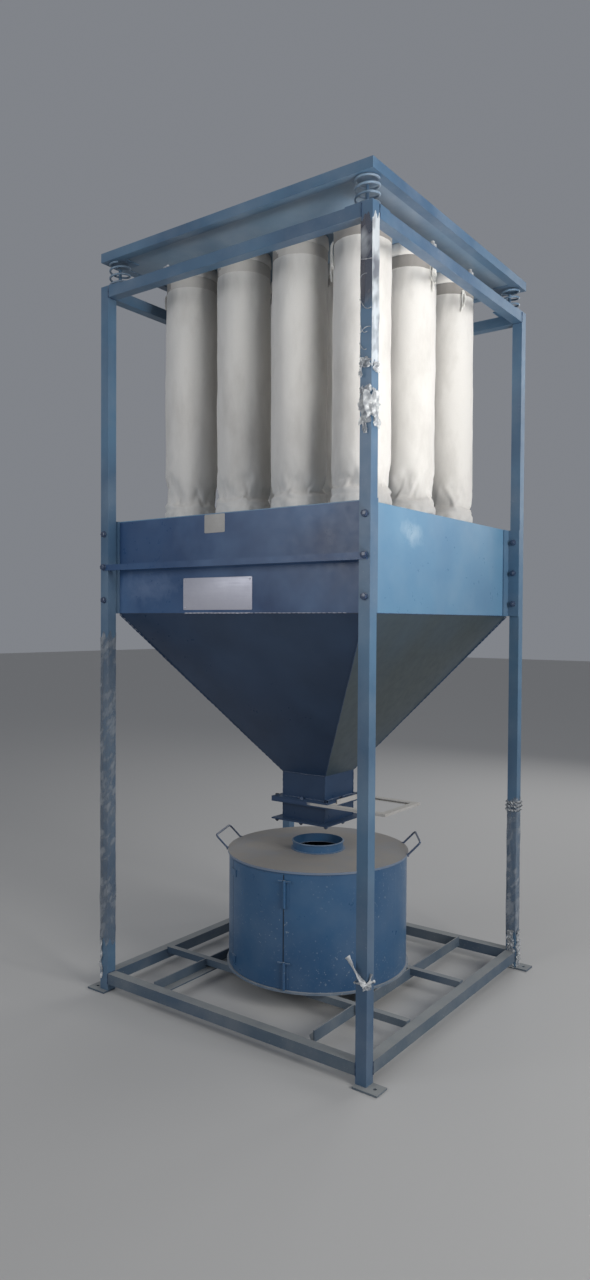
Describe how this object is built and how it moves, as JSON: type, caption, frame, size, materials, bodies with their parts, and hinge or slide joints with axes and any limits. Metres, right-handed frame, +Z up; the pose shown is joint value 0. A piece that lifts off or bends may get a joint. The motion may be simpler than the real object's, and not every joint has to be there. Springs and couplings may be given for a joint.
{
  "type": "open bag filter dust collector",
  "caption": "Open bag filter unit: a square stand carries a dust box with hopper and slide gate over a lidded drum, cloth bags hang from a sprung shaker tray",
  "frame": {"origin": "centre of the stand at floor level, at the centre of the whole part's outline", "axes": "+Z is up, -Y is the front with the strap across the box, +X is the side to which the gate is pulled out, -X is the side of the round inlet"},
  "size_m": [1.3, 1.24, 2.81],
  "materials": {
    "blue_paint": "satin blue paint with dust",
    "dusty_paint": "worn slate blue paint under pale dust",
    "bag_cloth": "off-white needle felt",
    "bare_steel": "dull dusty steel",
    "gate_steel": "dull steel with pale dust",
    "galvanised": "plain galvanised sheet"
  },
  "bodies": {
    "stand": {"post_front_left": "blue_paint", "post_front_right": "blue_paint", "post_back_left": "blue_paint", "post_back_right": "blue_paint", "foot_plates": "bare_steel", "base_rails": "dusty_paint", "angle_rails": "dusty_paint", "cross_bars": "dusty_paint", "top_rails": "blue_paint", "spring_seats": "blue_paint", "shaker_springs": "blue_paint", "box_front": "blue_paint", "box_back": "blue_paint", "box_left": "blue_paint", "box_right": "blue_paint", "bag_plate_1": "blue_paint", "bag_plate_2": "blue_paint", "bag_plate_3": "blue_paint", "bag_plate_4": "blue_paint", "bag_collars": "galvanised", "corner_angles": "blue_paint", "front_strap": "blue_paint", "hopper_front": "blue_paint", "hopper_back": "blue_paint", "hopper_left": "blue_paint", "hopper_right": "blue_paint", "hopper_neck": "blue_paint", "gate_frame": "gate_steel", "outlet_neck": "blue_paint", "inlet_spigot": "blue_paint", "drum_shell": "blue_paint", "drum_base": "blue_paint", "drum_lid": "blue_paint", "drum_collar": "blue_paint", "drum_hinges": "bare_steel", "drum_handles": "blue_paint"},
    "shaker": {"tray_rim": "blue_paint", "tray_plate": "blue_paint", "filter_bags_1": "bag_cloth", "filter_bags_2": "bag_cloth", "filter_bags_3": "bag_cloth", "filter_bags_4": "bag_cloth"},
    "gate": {"gate_blade": "gate_steel"},
    "door": {"drum_door": "blue_paint"}
  },
  "joints": [
    {"name": "shaker_slide", "type": "slide", "parent": "stand", "child": "shaker", "axis": [0, 0, 1], "range_m": [-0.01, 0.008], "stiffness_N_per_m": 60000, "springref_m": 0.0106, "deforming": ["shaker_springs"]},
    {"name": "gate_slide", "type": "slide", "parent": "stand", "child": "gate", "axis": [1, 0, 0], "range_m": [0, 0.207]},
    {"name": "door_hinge", "type": "hinge", "parent": "stand", "child": "door", "pos_m": [0.09292, -0.34677, 0.3], "axis": [0, 0, 1], "range_deg": [0, 110]}
  ]
}
